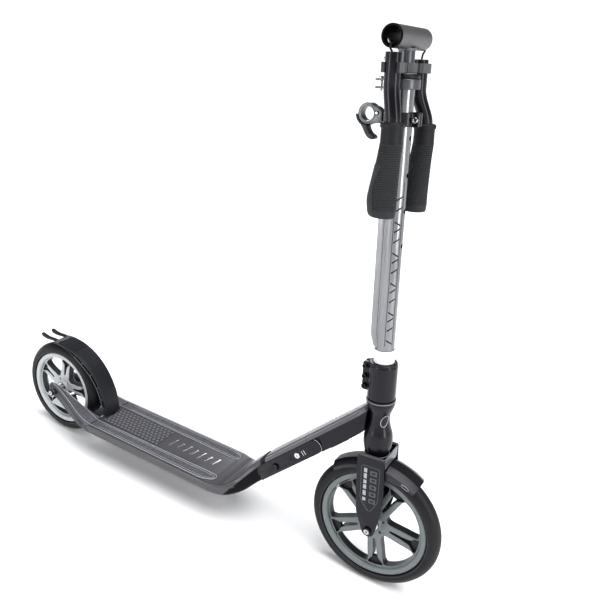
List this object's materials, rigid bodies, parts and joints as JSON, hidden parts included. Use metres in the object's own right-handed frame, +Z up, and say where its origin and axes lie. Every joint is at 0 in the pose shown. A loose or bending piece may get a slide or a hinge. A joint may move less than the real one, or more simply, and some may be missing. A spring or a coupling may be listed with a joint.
{
  "type": "kick scooter",
  "caption": "Folding adult kick scooter with big wheels, a fender brake, a telescopic stem and handlebar halves clipped beside the stem for carrying.",
  "frame": {"origin": "on the floor, at the middle of the scooter's length and width", "axes": "+X is the direction of travel, +Y is the rider's left, +Z is up"},
  "size_m": [0.9499, 0.135, 0.8781],
  "materials": {
    "deck_paint": "satin grey paint on an aluminium section",
    "grip_tape": "gritty speckled tape",
    "tread_plastic": "moulded hexagon pattern",
    "black_alloy": "black paint, satin",
    "grey_alloy": "dark grey, anodised",
    "silver_alloy": "polished",
    "bright_steel": "bright zinc",
    "rim_plastic": "grey moulding, satin",
    "tyre": "smooth black",
    "grip_rubber": "dimpled, dull",
    "grey_plastic": "ribbed moulding",
    "black_plastic": "satin",
    "white_plastic": "smooth",
    "elastic": "braided cover"
  },
  "bodies": {
    "frame": {"deck": "deck_paint", "grip_strip_left": "grip_tape", "grip_strip_right": "grip_tape", "tread_mat": "tread_plastic", "fold_plate_left": "black_alloy", "fold_plate_right": "black_alloy", "fold_pivot_bolt": "bright_steel", "rear_arm_left": "black_alloy", "rear_arm_right": "black_alloy", "rear_axle": "bright_steel", "rear_spacer_left": "bright_steel", "rear_spacer_right": "bright_steel", "fender_pin": "bright_steel"},
    "rear_wheel": {"rear_rim": "rim_plastic", "rear_tyre": "tyre", "rear_bearing_left": "bright_steel", "rear_bearing_right": "bright_steel"},
    "fender": {"rear_fender": "black_plastic"},
    "front_frame": {"downtube": "black_alloy", "head_tube": "black_alloy", "headset_bearing_lower": "bright_steel", "headset_bearing_upper": "bright_steel"},
    "release_lever": {"fold_release_lever": "black_plastic"},
    "steering": {"crown_race": "black_alloy", "fork_crown": "black_alloy", "fork_blade_left": "black_alloy", "fork_blade_right": "black_alloy", "front_axle": "bright_steel", "front_spacer_left": "bright_steel", "front_spacer_right": "bright_steel", "front_fender_rear": "black_plastic", "front_fender_front": "black_plastic", "stem_clamp": "black_alloy", "clamp_screw_1": "bright_steel", "clamp_screw_2": "bright_steel", "clamp_screw_3": "bright_steel", "stem_tube": "silver_alloy", "stem_sleeve": "white_plastic", "latch_band": "black_alloy", "latch_band_screw": "bright_steel", "latch_ring": "grey_alloy", "latch_pin": "bright_steel", "height_collar": "grey_alloy", "collar_screw": "bright_steel", "collar_cap": "black_plastic"},
    "front_wheel": {"front_rim": "rim_plastic", "front_tyre": "tyre", "front_bearing_left": "bright_steel", "front_bearing_right": "bright_steel"},
    "latch": {"latch_lever": "black_plastic"},
    "handlebar": {"inner_stem_tube": "grey_alloy", "t_tube": "silver_alloy", "bar_clip": "grey_plastic", "elastic_cord": "elastic"},
    "bar_right": {"bar_right": "black_alloy", "grip_right": "grip_rubber"},
    "bar_left": {"bar_left": "black_alloy", "grip_left": "grip_rubber"},
    "snap_right": {"snap_button_right": "bright_steel"},
    "snap_left": {"snap_button_left": "bright_steel"}
  },
  "joints": [
    {"name": "fold", "type": "hinge", "parent": "frame", "child": "front_frame", "pos_m": [0.174, 0, 0.153], "axis": [0, -1, 0], "range_deg": [0, 92]},
    {"name": "release_press", "type": "hinge", "parent": "front_frame", "child": "release_lever", "pos_m": [0.29527, 0, 0.25517], "axis": [0, -1, 0], "range_deg": [0, 8], "stiffness_Nm_per_rad": 0.12, "springref_deg": -28.65},
    {"name": "steer", "type": "hinge", "parent": "front_frame", "child": "steering", "pos_m": [0.35502, 0, 0.11456], "axis": [-0.0872, 0, 0.9962], "range_deg": [-70, 70]},
    {"name": "front_spin", "type": "hinge", "parent": "steering", "child": "front_wheel", "pos_m": [0.36, 0, 0.115], "axis": [0, 1, 0], "continuous": true},
    {"name": "rear_spin", "type": "hinge", "parent": "frame", "child": "rear_wheel", "pos_m": [-0.375, 0, 0.1], "axis": [0, 1, 0], "continuous": true},
    {"name": "brake", "type": "hinge", "parent": "frame", "child": "fender", "pos_m": [-0.265, 0, 0.078], "axis": [0, -1, 0], "range_deg": [0, 3.3], "stiffness_Nm_per_rad": 8, "springref_deg": -8.59},
    {"name": "stem_height", "type": "slide", "parent": "steering", "child": "handlebar", "axis": [-0.0872, 0, 0.9962], "range_m": [0, 0.15]},
    {"name": "latch_open", "type": "hinge", "parent": "steering", "child": "latch", "pos_m": [0.26397, 0, 0.76511], "axis": [0, -1, 0], "range_deg": [0, 25], "stiffness_Nm_per_rad": 0.04, "springref_deg": -20.05},
    {"name": "bar_right_off", "type": "slide", "parent": "handlebar", "child": "bar_right", "axis": [0, -1, 0], "range_m": [0, 0.06], "deforming": ["elastic_cord"]},
    {"name": "bar_left_off", "type": "slide", "parent": "handlebar", "child": "bar_left", "axis": [0, 1, 0], "range_m": [0, 0.06], "deforming": ["elastic_cord"]},
    {"name": "snap_right_press", "type": "slide", "parent": "bar_right", "child": "snap_right", "axis": [0.9962, 0, 0.0872], "range_m": [0, 0.0025], "stiffness_N_per_m": 400, "springref_m": -0.002},
    {"name": "snap_left_press", "type": "slide", "parent": "bar_left", "child": "snap_left", "axis": [0.9962, 0, 0.0872], "range_m": [0, 0.0025], "stiffness_N_per_m": 400, "springref_m": -0.002}
  ]
}
